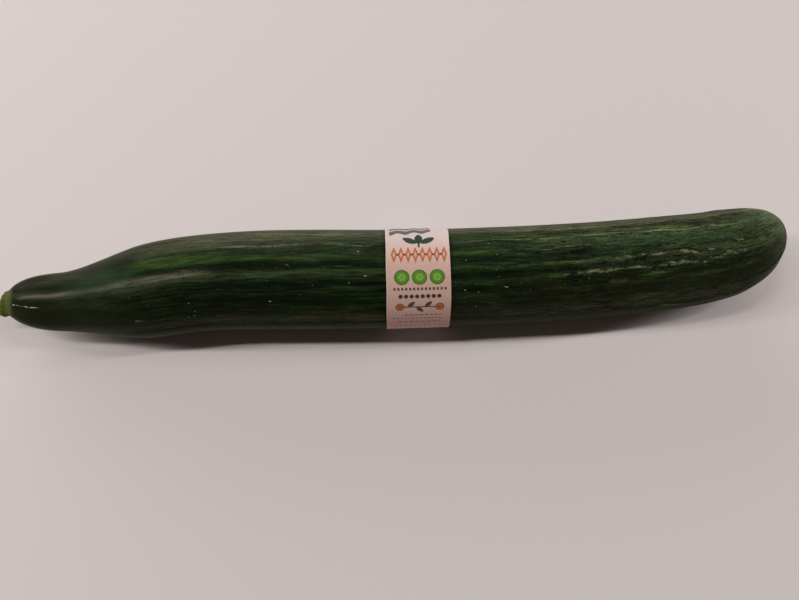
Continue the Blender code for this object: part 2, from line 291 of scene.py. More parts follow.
for phi in HIDDEN:
    for a, b in ((-95, -30), (-40, 25), (15, 80), (60, 130), (120, 178)):
        if rng.random() < 0.6:
            continue
        a, b, s = a + rng.uniform(-10, 10), b + rng.uniform(-10, 10), rng.uniform(0.3, 0.8)
        STREAKS["pale"].append((1.6, (a, phi, 0.1), ((a + b) / 2, phi + rng.uniform(-1, 1), s), (b, phi, 0.15)))
    turn = phi + 9
    for a, b in ((-120, -40), (-60, 40), (20, 100), (80, 175)):
        s, w = rng.uniform(0.2, 0.75), rng.uniform(2.4, 4.4)
        STREAKS["vivid"].append((w, (a, turn + rng.uniform(-2, 2), 0.1), ((a + b) / 2, turn + rng.uniform(-2, 2), s), (b, turn, 0.15)))
        if rng.random() < 0.7:
            STREAKS["dark"].append((2.4, (a, turn + 5, 0.3), ((a + b) / 2, turn + rng.uniform(3, 6), 0.7), (b, turn + 5, 0.3)))
    for a, b in ((70, 110), (105, 140), (138, 170)):
        if rng.random() < 0.75:
            STREAKS["fleck"].append((2.3, (a, phi + rng.uniform(-2, 2), 0.2), ((a + b) / 2, phi + rng.uniform(-2, 2), rng.uniform(0.6, 0.95)), (b, phi, 0.2)))

# Dried droplets and grains on the skin: (x, phi, size).
SPECKS = [
    (-56, -50, 1.2), (-106, -44, 1.3), (-106, -34, 0.9), (-109, -34, 0.8), (-58, -30, 1.2), (-109, 19, 0.9), (-91, 24, 0.9),
    (-63, 22, 0.7), (-53, 18, 0.9), (-37, 18, 1.6), (-37, 15, 0.8), (-35, 26, 1.5), (-43, 38, 0.8), (-38, 44, 0.8),
    (-22, 34, 0.9), (-19, 33, 0.8), (-8, 15, 1), (-9, -36, 1.6), (-40, -34, 0.9), (-17, -22, 0.9), (-8, -22, 0.9),
    (-11, -12, 1), (-9, -9, 1.1), (-10, -6, 1.5), (-32, -6, 0.8), (-93, 42, 0.8), (-90, 40, 0.9), (-89, 35, 0.8),
    (47, -53, 1), (45, -37, 1.4), (48, -22, 1.6), (34, -16, 0.8), (47, -4, 1.1), (48, 3, 0.9), (58, 11, 1.3), (61, 11, 1.5),
    (39, 20, 1.6), (55, 17, 0.9), (38, 37, 1), (68, -26, 0.8), (78, 4, 1), (66, -54, 1.3), (80, -56, 1.5), (94, -33, 1.2),
    (94, -20, 1.5), (94, -10, 1), (97, -12, 1.1), (103, -12, 1), (119, -56, 1.4), (110, 18, 1), (118, 19, 1.1),
    (120, 71, 1.2), (142, -40, 1.1), (152, -40, 0.9), (145, 0, 1.1), (170, -7, 1.2), (176, -6, 1), (165, 18, 1),
]
for _ in range(120):
    SPECKS.append((rng.uniform(-120, 178), rng.uniform(75, 285), rng.uniform(0.7, 1.5)))
for _ in range(60):
    SPECKS.append((rng.uniform(-130, 178), rng.uniform(-80, 80), rng.uniform(0.5, 0.8)))
# Short scratches and dashes of the same dried kind: (x, phi) to (x, phi), size.
DASHES = [
    ((50.4, 14.0), (52.0, 15.5), 1.0), ((32.4, 17.0), (34.4, 17.0), 0.8), ((-11.3, -1.5), (-9.7, -1.5), 1.0),
    ((-18.3, 5.5), (-17.2, 5.5), 0.9), ((-54.2, 25.5), (-52.7, 25.5), 0.9), ((-14.4, -30), (-12.9, -30.5), 1.0),
    ((-175.1, 7.5), (-172.3, 8.3), 1.3), ((-171.2, 8.8), (-168.2, 9.0), 1.3), ((-167.9, 9.5), (-165.5, 11), 1.3),
    ((-165.2, 11), (-161.0, 11.2), 1.25), ((-45.6, -15.5), (-43.7, -10.5), 0.05), ((-43.7, -10.5), (-41.8, -8), 0.0),
    ((84.0, 8.5), (84.3, 12.0), 0.6), ((88.2, 9.0), (88.5, 13.0), 0.6), ((-116.7, 37.5), (-105.2, 40.0), 0.1),
    ((-134.4, 38.0), (-127.5, 39.0), -0.3),
]


def away(phi, line):
    """How far phi is from a line, in degrees, the short way round."""
    return (phi - line + 180) % 360 - 180


lobes = waves(9, 60.0, 9.0, 3)
lumps = waves(26, 9.0, 5.0, 5)
dimples = waves(40, 3.2, 2.4, 8)


def skin_offset(x, phi):
    """How far the skin is from the plain round body: only inwards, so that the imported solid's size holds."""
    a = np.radians(phi + FACING)
    grown = eased(x, -150, -85)  # the neck is smooth
    blossom = eased(x, 40, 120)
    ridge = np.zeros(np.broadcast(x, phi).shape)
    for points, height, width in RIDGES:
        xs, phis = zip(*points)
        d = away(phi, np.interp(x, xs, phis))
        ridge = ridge + height * np.exp(-((np.abs(d) / (width * 1.25)) ** 1.6))
        ridge = ridge - 0.10 * np.exp(-(((d + 3.6) / 2.2) ** 2))
    tip = 1 - eased(x, 176, 192)
    depth = grown * tip * (0.55 + 0.45 * blossom)
    offset = depth * (ridge - 0.36)
    offset = offset + tip * (0.10 * lobes(x, a) - 0.10) * (0.4 + 0.6 * grown)
    offset = offset + (0.018 + 0.05 * depth) * lumps(x, a)
    offset = offset + (0.004 + 0.018 * depth * (0.5 + blossom)) * dimples(x, a)
    return np.minimum(offset - 0.03, 0.0)


def floor_of_skin(x):
    """Where the skin rests. Under the band it leaves room for the paper."""
    return 0.6 * np.minimum(
        1 - eased(x, BAND_END_X + 0.6, BAND_END_X + 2.6),
        eased(x, BAND_START_X - 2.6, BAND_START_X - 0.6),
    )


def new_object(name, points, faces, smooth=True):
    mesh = bpy.data.meshes.new(name)
    mesh.from_pydata((np.asarray(points) * MM).tolist(), [], faces)
    mesh.validate()
    if smooth:
        mesh.shade_smooth()
    made = bpy.data.objects.new(name, mesh)
    bpy.context.scene.collection.objects.link(made)
    return made


def attribute(mesh, name, values):
    values = np.asarray(values, np.float32)
    if values.ndim == 2:
        mesh.attributes.new(name, "FLOAT_VECTOR", "POINT").data.foreach_set(
            "vector", values.reshape(-1)
        )
    else:
        mesh.attributes.new(name, "FLOAT", "POINT").data.foreach_set("value", values)


def grid_faces(rows, around, closed=True):
    faces = []
    last = around if closed else around - 1
    for i in range(rows - 1):
        for k in range(last):
            m = (k + 1) % around
            faces.append((i * around + k, i * around + m, (i + 1) * around + m, (i + 1) * around + k))
    return faces


def streak_mask(x, phi, streaks):
    """How strongly the streaks of one kind show at each place, 0 to 1."""
    total = np.zeros((len(x), len(phi)))
    for n, (width, *places) in enumerate(streaks):
        xs, phis, strengths = (np.array(v, float) for v in zip(*places))
        rows = np.where((x > xs[0] - 2) & (x < xs[-1] + 2))[0]
        if len(rows) == 0:
            continue
        here = x[rows]
        wander = 0.45 * np.sin(here / 7.3 + n) + 0.3 * np.sin(here / 3.1 + 2 * n)
        line = np.interp(here, xs, phis) + wander
        strength = np.interp(here, xs, strengths)
        strength = strength * eased(here, xs[0] - 2, xs[0] + 2) * (1 - eased(here, xs[-1] - 2, xs[-1] + 2))
        strength = strength * (0.88 + 0.12 * np.sin(here / 5.0 + 1.7 * n))
        d = away(phi[None, :], line[:, None]) / width
        total[rows] = 1 - (1 - total[rows]) * (1 - strength[:, None] * np.exp(-d * d))
    return total


def speck_mask(x, phi, points):
    """A cone round each speck: 1 at its middle and 0 from two millimetres out, so that the material can cut it sharply."""
    total = np.zeros((len(x), len(phi)))

    def put(at_x, at_phi, size):
        i = np.argmin(np.abs(x - at_x))
        k = np.argmin(np.abs(away(phi, at_phi)))
        rows = slice(max(0, i - 5), i + 6)
        near = np.where(np.abs(away(phi, at_phi)) < 12)[0]
        if near[-1] - near[0] + 1 != len(near):
            return  # across the seam of the table of angles
        columns = slice(near[0], near[-1] + 1)
        ring = points[rows, columns]
        # the true place between the mesh's points
        j = min(max(np.searchsorted(x, at_x), 1), len(x) - 1)
        t = (at_x - x[j - 1]) / (x[j] - x[j - 1])
        middle = points[j - 1, k] * (1 - t) + points[j, k] * t
        far = np.linalg.norm(ring - middle, axis=-1)
        cone = np.clip(1 - far / 2.0 + 0.07 * (min(size, 1.3) - 1), 0, 1)
        total[rows, columns] = np.maximum(total[rows, columns], cone)

    for at_x, at_phi, size in SPECKS:
        put(at_x, (at_phi + 180) % 360 - 180, size)
    for (x0, p0), (x1, p1), size in DASHES:
        for t in np.linspace(0, 1, max(3, int(abs(x1 - x0) / 0.5))):
            put(x0 + (x1 - x0) * t, p0 + (p1 - p0) * t, size)
    return total


def make_fruit():
    around = 232
    a = np.linspace(FLAT, 2 * math.pi - FLAT, around)
    a = np.concatenate([a, [2 * math.pi]])  # straight down, in the middle of the flat strip
    around += 1
    seat = SEAT_RADIUS / radius_at(STEM_END_X)
    stem = [x_at_stem(math.sin(t)) for t in np.linspace(math.asin(seat), math.pi / 2, 44)]
    blossom = [BLOSSOM_END_X - BLOSSOM_CAP * (1 - math.cos(t)) for t in np.linspace(math.pi / 2, 0.02, 54)]
    middle = np.linspace(stem[-1], blossom[0], 318)[1:-1]
    x = np.concatenate([stem, middle, blossom])
    factor = end_factor(x)
    _, side, up = frames_at(x)
    centre = centres_at(x, factor)
    phi = (np.degrees(a) - FACING + 180) % 360 - 180
    offset = skin_offset(x[:, None], phi[None, :])
    # the flat strip stays where it is
    bottom = np.abs((np.degrees(a) + 180) % 360 - 180)
    keep = eased(bottom, 7.5, 16.0)[None, :]
    offset = offset * keep
    radius = (radius_at(x) * factor)[:, None] + offset * np.minimum(1, factor * 3)[:, None]
    ring = np.sin(a)[None, :, None] * side[:, None, :] - np.cos(a)[None, :, None] * up[:, None, :]
    points = centre[:, None, :] + radius[..., None] * ring
    # the blossom scar is a small dent with a rim
    inward = np.where(x > 150, 0.9 * np.exp(-((factor * 20.5 / 2.1) ** 4)) - 0.22 * np.exp(-(((factor * 20.5 - 3.0) / 0.9) ** 2)), 0)
    tangent, _, _ = frames_at(x)
    points = points - (inward[:, None] * tangent)[:, None, :]
    floor = floor_of_skin(x)[:, None]
    points[..., 2] = np.where(points[..., 2] < floor + 0.02, floor, points[..., 2])
    rows = len(x)
    faces = grid_faces(rows, around)
    flat = points.reshape(-1, 3)
    blossom_pole = points[-1].mean(axis=0)
    stem_pole = points[0].mean(axis=0)
    flat = np.concatenate([flat, [blossom_pole, stem_pole]])
    for k in range(around):
        m = (k + 1) % around
        faces.append(((rows - 1) * around + k, (rows - 1) * around + m, rows * around))
        faces.append((m, k, rows * around + 1))
    fruit = new_object("cucumber_fruit", flat, faces)

    # how far along the skin each ring is, which keeps the streaks' length right on the rounded ends
    step = np.sqrt(np.sum(np.diff(centre, axis=0) ** 2, axis=1) + np.diff(radius_at(x) * factor) ** 2)
    length = np.concatenate([[0], np.cumsum(step)])
    length = length - np.interp(0.0, x, length)
    fold = np.radians(phi)
    lane = np.stack(
        [
            np.broadcast_to(length[:, None], (rows, around)),
            np.broadcast_to(24 * np.cos(fold)[None, :], (rows, around)),
            np.broadcast_to(24 * np.sin(fold)[None, :], (rows, around)),
        ],
        -1,
    )
    X, P = np.broadcast_arrays(x[:, None], phi[None, :])
    mask = {kind: streak_mask(x, phi, streaks) for kind, streaks in STREAKS.items()}
    speck = speck_mask(x, phi, points)
    pole = np.linalg.norm(points - blossom_pole, axis=-1)
    # yellow-green round the stem and, in streaks, at the blossom end
    rim_x = -182.4 + 6.9 * np.maximum(np.cos(np.radians(P)), 0) ** 1.2
    collar = 1 - eased(X, rim_x - 3.0, rim_x + 2.2)
    tip = 1 - eased(pole, 6, 34)
    neck = 1 - eased(X, -138, -96)
    scar = 1 - eased(pole, 1.4, 3.4)
    # the neck and the shoulder after it are the smoothest, waxiest places, with a duller one between them
    gloss = (1 - eased(X, -98, -62)) * (1 - 0.55 * np.exp(-(((X + 143) / 11) ** 2)))
    gloss = gloss * eased(P, -36, -20) * (1 - eased(P, 40, 60)) * eased(X, -182, -172)
    whole = lambda v: np.concatenate([v.reshape(-1), [v[-1].mean(), v[0].mean()]])
    attribute(fruit.data, "lane", np.concatenate([lane.reshape(-1, 3), [[length[-1], 0, 0], [length[0], 0, 0]]]))
    for name, parts in (
        ("masks_a", (mask["pale"], mask["vivid"], mask["dark"])),
        ("masks_b", (mask["teal"], mask["fleck"], mask["olive"])),
        ("masks_c", (mask["yellow"], speck, collar)),
        ("masks_d", (tip, neck, scar)),
        ("masks_e", (mask["painted_sheen"], mask["painted_lit_side"], mask["brown"])),
    ):
        attribute(fruit.data, name, np.stack([whole(np.clip(p, 0, 1)) for p in parts], -1))
    attribute(fruit.data, "blossom_half", whole(eased(X, 20, 110)))
    attribute(fruit.data, "gloss", whole(gloss))
    # painted highlight on the upper side of the blossom tip
    painted_tip_highlight = eased(X, 166, 194) * np.exp(-((np.abs(away(P, -34)) / 40) ** 3))
    attribute(fruit.data, "painted_tip_highlight", whole(painted_tip_highlight))
    # painted reflection: a band along the upper and lower edges, weaker towards the blossom tip
    low = eased(np.abs(P), 58, 80) * (1 - eased(np.abs(P), 95, 120)) * (1 - 0.75 * eased(X, 135, 168))
    attribute(fruit.data, "low", whole(low))
    return fruit


# ------------------------------------------------------------------ node materials
class Nodes:
    """Small helpers for building a material's nodes."""

    def __init__(self, name):
        self.material = bpy.data.materials.new(name)
        self.material.use_nodes = True
        self.tree = self.material.node_tree
        self.shader = self.tree.nodes["Principled BSDF"]

    def link(self, source, target):
        self.tree.links.new(source, target)

    def put(self, socket, value):
        if isinstance(value, bpy.types.NodeSocket):
            self.link(value, socket)
        else:
            socket.default_value = value

    def math(self, op, a, b=0.0, c=0.0, clamp=False):
        node = self.tree.nodes.new("ShaderNodeMath")
        node.operation, node.use_clamp = op, clamp
        for socket, value in zip(node.inputs, (a, b, c)):
            self.put(socket, value)
        return node.outputs[0]

    def add(self, a, b, clamp=False):
        return self.math("ADD", a, b, clamp=clamp)

    def sub(self, a, b, clamp=False):
        return self.math("SUBTRACT", a, b, clamp=clamp)

    def mul(self, a, b, clamp=False):
        return self.math("MULTIPLY", a, b, clamp=clamp)

    def ramp(self, value, low, high, to_low=0.0, to_high=1.0):
        node = self.tree.nodes.new("ShaderNodeMapRange")
        node.interpolation_type = "SMOOTHSTEP"
        self.put(node.inputs["Value"], value)
        node.inputs["From Min"].default_value, node.inputs["From Max"].default_value = low, high
        node.inputs["To Min"].default_value, node.inputs["To Max"].default_value = to_low, to_high
        return node.outputs["Result"]

    def mix(self, factor, a, b):
        node = self.tree.nodes.new("ShaderNodeMix")
        node.data_type = "RGBA"
        self.put(node.inputs[0], factor)
        for socket, value in ((node.inputs[6], a), (node.inputs[7], b)):
            self.put(socket, (*value, 1.0) if isinstance(value, tuple) and len(value) == 3 else value)
        return node.outputs[2]

    def colours(self, value, *stops):
        node = self.tree.nodes.new("ShaderNodeValToRGB")
        self.put(node.inputs[0], value)
        ramp = node.color_ramp
        ramp.elements[0].position, ramp.elements[0].color = stops[0][0], (*stops[0][1], 1)
        ramp.elements[1].position, ramp.elements[1].color = stops[-1][0], (*stops[-1][1], 1)
        for position, colour in stops[1:-1]:
            ramp.elements.new(position).color = (*colour, 1)
        return node.outputs[0]

    def attribute(self, name, vector=False):
        node = self.tree.nodes.new("ShaderNodeAttribute")
        node.attribute_name = name
        return node.outputs["Vector" if vector else "Fac"]

    def position(self):
        return self.tree.nodes.new("ShaderNodeTexCoord").outputs["Object"]

    def scaled(self, vector, x, y, z, shift=(0, 0, 0)):
        node = self.tree.nodes.new("ShaderNodeMapping")
        self.link(vector, node.inputs["Vector"])
        node.inputs["Scale"].default_value = (x, y, z)
        node.inputs["Location"].default_value = shift
        return node.outputs[0]

    def noise(self, vector, scale=1.0, detail=3.0, rough=0.55, distortion=0.0):
        node = self.tree.nodes.new("ShaderNodeTexNoise")
        self.link(vector, node.inputs["Vector"])
        node.inputs["Scale"].default_value = scale
        node.inputs["Detail"].default_value = detail
        node.inputs["Roughness"].default_value = rough
        node.inputs["Distortion"].default_value = distortion
        return node.outputs["Fac"]

    def cells(self, vector, scale=1.0, randomness=1.0, output="Distance"):
        node = self.tree.nodes.new("ShaderNodeTexVoronoi")
        self.link(vector, node.inputs["Vector"])
        node.inputs["Scale"].default_value = scale
        node.inputs["Randomness"].default_value = randomness
        return node.outputs[output]

    def split(self, vector):
        node = self.tree.nodes.new("ShaderNodeSeparateXYZ")
        self.link(vector, node.inputs[0])
        return node.outputs

    def bump(self, height, distance, strength=1.0, before=None):
        node = self.tree.nodes.new("ShaderNodeBump")
        self.put(node.inputs["Height"], height)
        node.inputs["Distance"].default_value = distance
        node.inputs["Strength"].default_value = strength
        if before is not None:
            self.link(before, node.inputs["Normal"])
        return node.outputs[0]


def skin_material():
    n = Nodes("cucumber_skin")
    lane = n.attribute("lane", vector=True)
    pale, vivid, dark = n.split(n.attribute("masks_a", vector=True))
    teal, fleck, olive = n.split(n.attribute("masks_b", vector=True))
    yellow, speck, collar = n.split(n.attribute("masks_c", vector=True))
    tip, neck, scar = n.split(n.attribute("masks_d", vector=True))
    painted_sheen, painted_lit_side, brownish = n.split(n.attribute("masks_e", vector=True))
    rough_half = n.attribute("blossom_half")
    gloss, painted_tip_highlight, low = n.attribute("gloss"), n.attribute("painted_tip_highlight"), n.attribute("low")

    broad = n.noise(n.scaled(lane, 0.016, 0.20, 0.20), detail=3)
    streak = n.noise(n.scaled(lane, 0.036, 0.62, 0.62, (3, 1, 7)), detail=4, rough=0.62)
    fine = n.noise(n.scaled(lane, 0.11, 1.35, 1.35, (9, 4, 2)), detail=3, rough=0.6)
    mottle = n.noise(n.scaled(lane, 0.30, 0.75, 0.75, (1, 8, 3)), detail=4, rough=0.7)
    grain = n.noise(n.scaled(lane, 0.85, 1.45, 1.45, (5, 5, 1)), detail=3, rough=0.65)

    # the neck is smoother than the rest
    calm = n.sub(1.0, n.mul(neck, 0.62))
    streak, fine, mottle, grain = (n.add(0.5, n.mul(n.sub(value, 0.5), calm)) for value in (streak, fine, mottle, grain))

    # how green the skin is, from nearly black to vivid
    tone = n.add(0.25, n.mul(n.sub(broad, 0.5), 0.40))
    tone = n.add(tone, n.mul(n.sub(streak, 0.5), 0.70))
    tone = n.add(tone, n.mul(n.sub(fine, 0.5), 0.50))
    tone = n.add(tone, n.mul(n.sub(mottle, 0.5), n.add(0.16, n.mul(rough_half, 0.34))))
    tone = n.add(tone, n.mul(n.sub(grain, 0.5), n.add(0.20, n.mul(rough_half, 0.50))))
    flake = n.ramp(n.noise(n.scaled(lane, 0.13, 1.0, 1.0, (2, 9, 5)), detail=4, rough=0.65), 0.32, 0.68)
    tone = n.add(tone, n.mul(n.sub(flake, 0.5), n.add(0.10, n.mul(rough_half, 0.16))))
    tone = n.add(tone, n.mul(vivid, n.add(0.72, n.mul(n.sub(fine, 0.5), 0.9))))
    tone = n.sub(tone, n.mul(dark, 0.24))
    tone = n.math("MAXIMUM", tone, 0.0)
    colour = n.colours(
        tone,
        (0.0, (0.0026, 0.0044, 0.0026)),
        (0.25, (0.0060, 0.0110, 0.0050)),
        (0.48, (0.0150, 0.0310, 0.0105)),
        (0.72, (0.0330, 0.0650, 0.0175)),
        (1.0, (0.0760, 0.1250, 0.0400)),
    )
    # broad areas: brownish black low down; painted light: pale green where the lamps light the skin most, and a greyish
    # painted sheen
    busy = n.add(n.mul(n.sub(fine, 0.5), 1.7), n.mul(n.sub(mottle, 0.5), n.add(0.7, n.mul(rough_half, 0.7))))
    busy = n.add(busy, n.mul(n.sub(grain, 0.5), n.add(0.6, n.mul(rough_half, 1.0))))
    busy = n.add(busy, n.mul(n.sub(flake, 0.5), n.add(0.25, n.mul(rough_half, 0.25))))
    lit = n.mul(painted_lit_side, n.add(0.46, busy), clamp=True)
    umber = n.mix(n.mul(neck, 0.8), n.mix(mottle, (0.0090, 0.0100, 0.0048), (0.0310, 0.0330, 0.0160)), (0.0340, 0.0340, 0.0210))
    colour = n.mix(n.mul(brownish, 0.62), colour, umber)
    # painted light: the pale green of the lit upper side and of the highlight
    colour = n.mix(lit, colour, n.mix(rough_half, (0.092, 0.140, 0.062), (0.104, 0.138, 0.062)))
    # painted sheen: grey reflection of the surroundings, paler and beige on the glossy neck where the lamps' highlight
    # falls
    sheen_paint = n.mul(painted_sheen, n.add(0.52, busy), clamp=True)
    colour = n.mix(n.mul(sheen_paint, 0.9), colour, n.mix(gloss, (0.165, 0.170, 0.100), (0.265, 0.245, 0.190)))
    # painted highlight at the blossom tip
    shone = n.mul(painted_tip_highlight, n.add(0.62, busy), clamp=True)
    colour = n.mix(n.mul(shone, 0.85), colour, (0.200, 0.260, 0.150))
    # painted reflection: along the upper and lower edges the skin is painted olive brown in place of its glancing
    # reflection of the table
    colour = n.mix(n.mul(low, n.add(0.45, n.mul(busy, 0.6)), clamp=True), colour, (0.070, 0.071, 0.032))
    # brownish olive here and there, and teal: partly the skin's own colour, partly a painted highlight where the lamps
    # catch the wax
    patchy = n.mul(n.ramp(broad, 0.52, 0.66), n.ramp(n.noise(n.scaled(lane, 0.03, 0.35, 0.35, (6, 2, 2)), detail=3), 0.42, 0.62))
    colour = n.mix(n.mul(patchy, 0.40), colour, (0.0170, 0.0150, 0.0060))
    soften = n.add(0.55, n.mul(n.sub(mottle, 0.5), 1.4))
    colour = n.mix(n.mul(n.mul(olive, soften), 0.9, clamp=True), colour, (0.090, 0.084, 0.034))
    colour = n.mix(n.mul(n.mul(teal, n.add(0.65, n.mul(n.sub(streak, 0.5), 1.4))), 0.8, clamp=True), colour, n.mix(grain, (0.020, 0.052, 0.027), (0.056, 0.110, 0.060)))
    # pale lines, broken here and there
    broken = n.ramp(n.noise(n.scaled(lane, 0.14, 0.3, 0.3, (2, 6, 6)), detail=4, rough=0.7), 0.34, 0.60)
    line = n.ramp(n.add(pale, n.mul(n.sub(fine, 0.5), 0.8)), 0.30, 0.74)
    beads = n.ramp(grain, 0.38, 0.58)
    line = n.mul(line, n.add(n.mul(n.mul(broken, beads), 0.8), 0.2), clamp=True)
    colour = n.mix(n.mul(line, 0.9), colour, n.mix(rough_half, (0.150, 0.190, 0.098), (0.265, 0.320, 0.130)))
    # mottling: short pale dashes crowded together
    dash = n.noise(n.scaled(lane, 0.24, 0.75, 0.75, (7, 2, 9)), detail=4, rough=0.7)
    flecked = n.ramp(n.add(n.mul(fleck, 0.24), dash), 0.58, 0.76)
    flecked = n.mul(flecked, n.ramp(fleck, 0.05, 0.5))
    colour = n.mix(n.mul(flecked, 0.80), colour, n.mix(n.ramp(grain, 0.38, 0.60), (0.085, 0.104, 0.044), (0.250, 0.275, 0.150)))
    stray = n.ramp(n.noise(n.scaled(lane, 0.6, 1.7, 1.7, (4, 4, 4)), detail=3, rough=0.7), 0.62, 0.74)
    stray = n.mul(stray, n.add(n.add(0.10, n.mul(rough_half, 0.25)), n.mul(painted_lit_side, 0.5)), clamp=True)
    colour = n.mix(stray, colour, (0.215, 0.250, 0.110))
    # yellow-green at both ends
    torn = n.noise(n.scaled(lane, 0.09, 0.50, 0.50, (8, 1, 1)), detail=4, rough=0.65)
    ends = n.math("MAXIMUM", n.mul(yellow, n.add(0.62, n.mul(n.sub(mottle, 0.5), 1.6))), n.mul(tip, n.ramp(torn, 0.42, 0.66)))
    colour = n.mix(n.mul(ends, 0.70, clamp=True), colour, n.mix(mottle, (0.050, 0.066, 0.006), (0.125, 0.140, 0.018)))
    rim = n.add(collar, n.add(n.mul(n.sub(streak, 0.5), 1.2), n.mul(n.sub(fine, 0.5), 1.2)))
    colour = n.mix(n.ramp(rim, 0.20, 0.60), colour, n.mix(fine, (0.030, 0.046, 0.018), (0.065, 0.084, 0.030)))
    colour = n.mix(n.ramp(rim, 0.55, 1.0), colour, n.mix(fine, (0.055, 0.078, 0.020), (0.115, 0.132, 0.042)))
    # dried droplets
    edge = n.add(speck, n.mul(n.sub(n.noise(n.scaled(lane, 1.5, 1.5, 1.5), detail=2), 0.5), 0.10))
    spot = n.ramp(edge, 0.84, 0.92)
    colour = n.mix(n.mul(spot, 0.85), colour, (0.52, 0.53, 0.40))
    tiny = n.cells(n.scaled(lane, 0.42, 0.42, 0.42, (1, 2, 3)))
    tiny = n.mul(n.ramp(tiny, 0.045, 0.10, 1.0, 0.0), n.ramp(mottle, 0.52, 0.62))
    tiny = n.mul(tiny, n.sub(1.0, n.mul(neck, 0.8)))
    colour = n.mix(n.mul(tiny, 0.6), colour, (0.34, 0.37, 0.24))
    colour = n.mix(scar, colour, n.mix(grain, (0.10, 0.07, 0.03), (0.22, 0.17, 0.09)))
    n.link(colour, n.shader.inputs["Base Color"])

    rough = n.add(0.34, n.mul(n.sub(streak, 0.5), 0.14))
    rough = n.add(rough, n.mul(rough_half, 0.08))
    rough = n.add(rough, n.mul(flecked, 0.12))
    rough = n.add(rough, n.mul(n.sub(grain, 0.5), 0.10))
    rough = n.sub(rough, n.mul(gloss, 0.19))
    rough = n.add(rough, n.mul(n.ramp(rim, 0.3, 0.5), 0.3))
    n.link(rough, n.shader.inputs["Roughness"])
    n.shader.inputs["IOR"].default_value = 1.07
    n.shader.inputs["Specular Tint"].default_value = (1.0, 0.92, 0.68, 1)
    n.shader.inputs["Sheen Weight"].default_value = 0.04
    n.shader.inputs["Sheen Roughness"].default_value = 0.35
    n.shader.inputs["Sheen Tint"].default_value = (1.0, 0.93, 0.66, 1)
    height = n.add(n.mul(fine, 0.55), n.mul(grain, 0.35))
    height = n.add(height, n.mul(mottle, 0.5))
    height = n.add(height, n.mul(flecked, 0.25))
    height = n.mul(height, n.add(0.35, n.mul(rough_half, 0.65)))
    height = n.add(height, n.mul(spot, 0.5))
    height = n.mul(height, n.sub(1.0, n.mul(neck, 0.72)))
    n.link(n.bump(height, 0.00045, 0.9), n.shader.inputs["Normal"])
    return n.material


# ------------------------------------------------------------------ the paper band
BAND_RADIUS = 24.25  # of the paper, for the lengths of its print


def make_band():
    """Thin paper, wrapped once round with its ends overlapped on the underside of the far side, its edges a little wavy."""
    seam, overlap, thick = 62.0, 14.0, 0.11
    around, across = 420, 44
    a = np.linspace(seam, seam + 360 + overlap, around)  # from straight down by way of +Y
    u = np.linspace(0, 1, across)
    turn = (a - seam) / 360
    wave = waves(10, 6.0, 3.0, 21)
    start = BAND_START_X + 0.10 * np.sin(np.radians(a * 2 + 40)) + 0.05 * np.sin(np.radians(a * 7))
    end = BAND_END_X + 0.12 * np.sin(np.radians(a * 2 + 200)) + 0.06 * np.sin(np.radians(a * 5 + 30))
    end = end + 0.5 * np.exp(-(((away(a, FACING) + 62) / 16) ** 2))
    # the band lies a little out of square, so its ends don't quite meet at the seam
    skew = 0.35 * (turn - 0.5)
    x = start[:, None] + (end - start)[:, None] * u[None, :] + skew[:, None]
    flat_x = x.reshape(-1)
    _, side, up = frames_at(flat_x)
    centre = spine_at(flat_x)
    angle = np.repeat(np.radians(a), across)
    phi = (np.repeat(a, across) - FACING + 180) % 360 - 180
    # the paper bridges the hollows between the ridges, and the edges stand off a little
    base = radius_at(flat_x) + 0.06
    edge_left = np.exp(-(u / 0.05) ** 1.5)
    edge_right = np.exp(-((1 - u) / 0.06) ** 1.5)
    lift_left = 0.10 + 0.12 * np.maximum(0, np.sin(np.radians(a * 3 + 80)))
    facing = away(a, FACING)
    lift_right = 0.16 + 0.20 * np.maximum(0, np.sin(np.radians(a * 2 - 210))) + 0.40 * np.exp(-((facing / 38) ** 2))
    lift = (edge_left[None, :] * lift_left[:, None] + edge_right[None, :] * lift_right[:, None]).reshape(-1)
    puff = 0.035 * wave(flat_x, angle) + 0.05
    over = 0.16 * eased(np.repeat(turn, across), 0.985, 1.01)  # the end lies on top of the start
    tail = 0.22 * eased(np.repeat(turn, across), 1.02, 1.04)
    inner = base + lift + puff + over + tail
    shapes = []
    for grow, floor in ((thick, 0.0), (0.0, thick)):
        ring = np.sin(angle)[:, None] * side - np.cos(angle)[:, None] * up
        points = centre + (inner + grow)[:, None] * ring
        low = points[:, 2] < floor + 0.02
        points[low, 2] = floor
        shapes.append(points)
    outer, inside = shapes
    points = np.concatenate([outer, inside])
    faces = []
    count = around * across
    for i in range(around - 1):
        for k in range(across - 1):
            p, q = i * across + k, (i + 1) * across + k
            faces.append((p, p + 1, q + 1, q))
            faces.append((count + p, count + q, count + q + 1, count + p + 1))
    for i in range(around - 1):
        p, q = i * across, (i + 1) * across
        faces.append((p, q, count + q, count + p))
        p, q = p + across - 1, q + across - 1
        faces.append((p, count + p, count + q, q))
    for k in range(across - 1):
        faces.append((k, count + k, count + k + 1, k + 1))
        p = (around - 1) * across + k
        faces.append((p, p + 1, count + p + 1, count + p))
    faces = [face[::-1] for face in faces]  # facing outwards
    band = new_object("paper_band", points, faces, smooth=True)
    band.data.set_sharp_from_angle(angle=math.radians(50))
    width = BAND_END_X - BAND_START_X
    across_mm = np.tile(u * width, around)
    down_mm = np.radians(np.repeat(a, across) - FACING) * BAND_RADIUS
    printed = np.stack([across_mm, down_mm, np.zeros_like(across_mm)], -1)
    back = printed + np.array([0, 0, 1.0])
    attribute(band.data, "print_mm", np.concatenate([printed, back]))
    return band


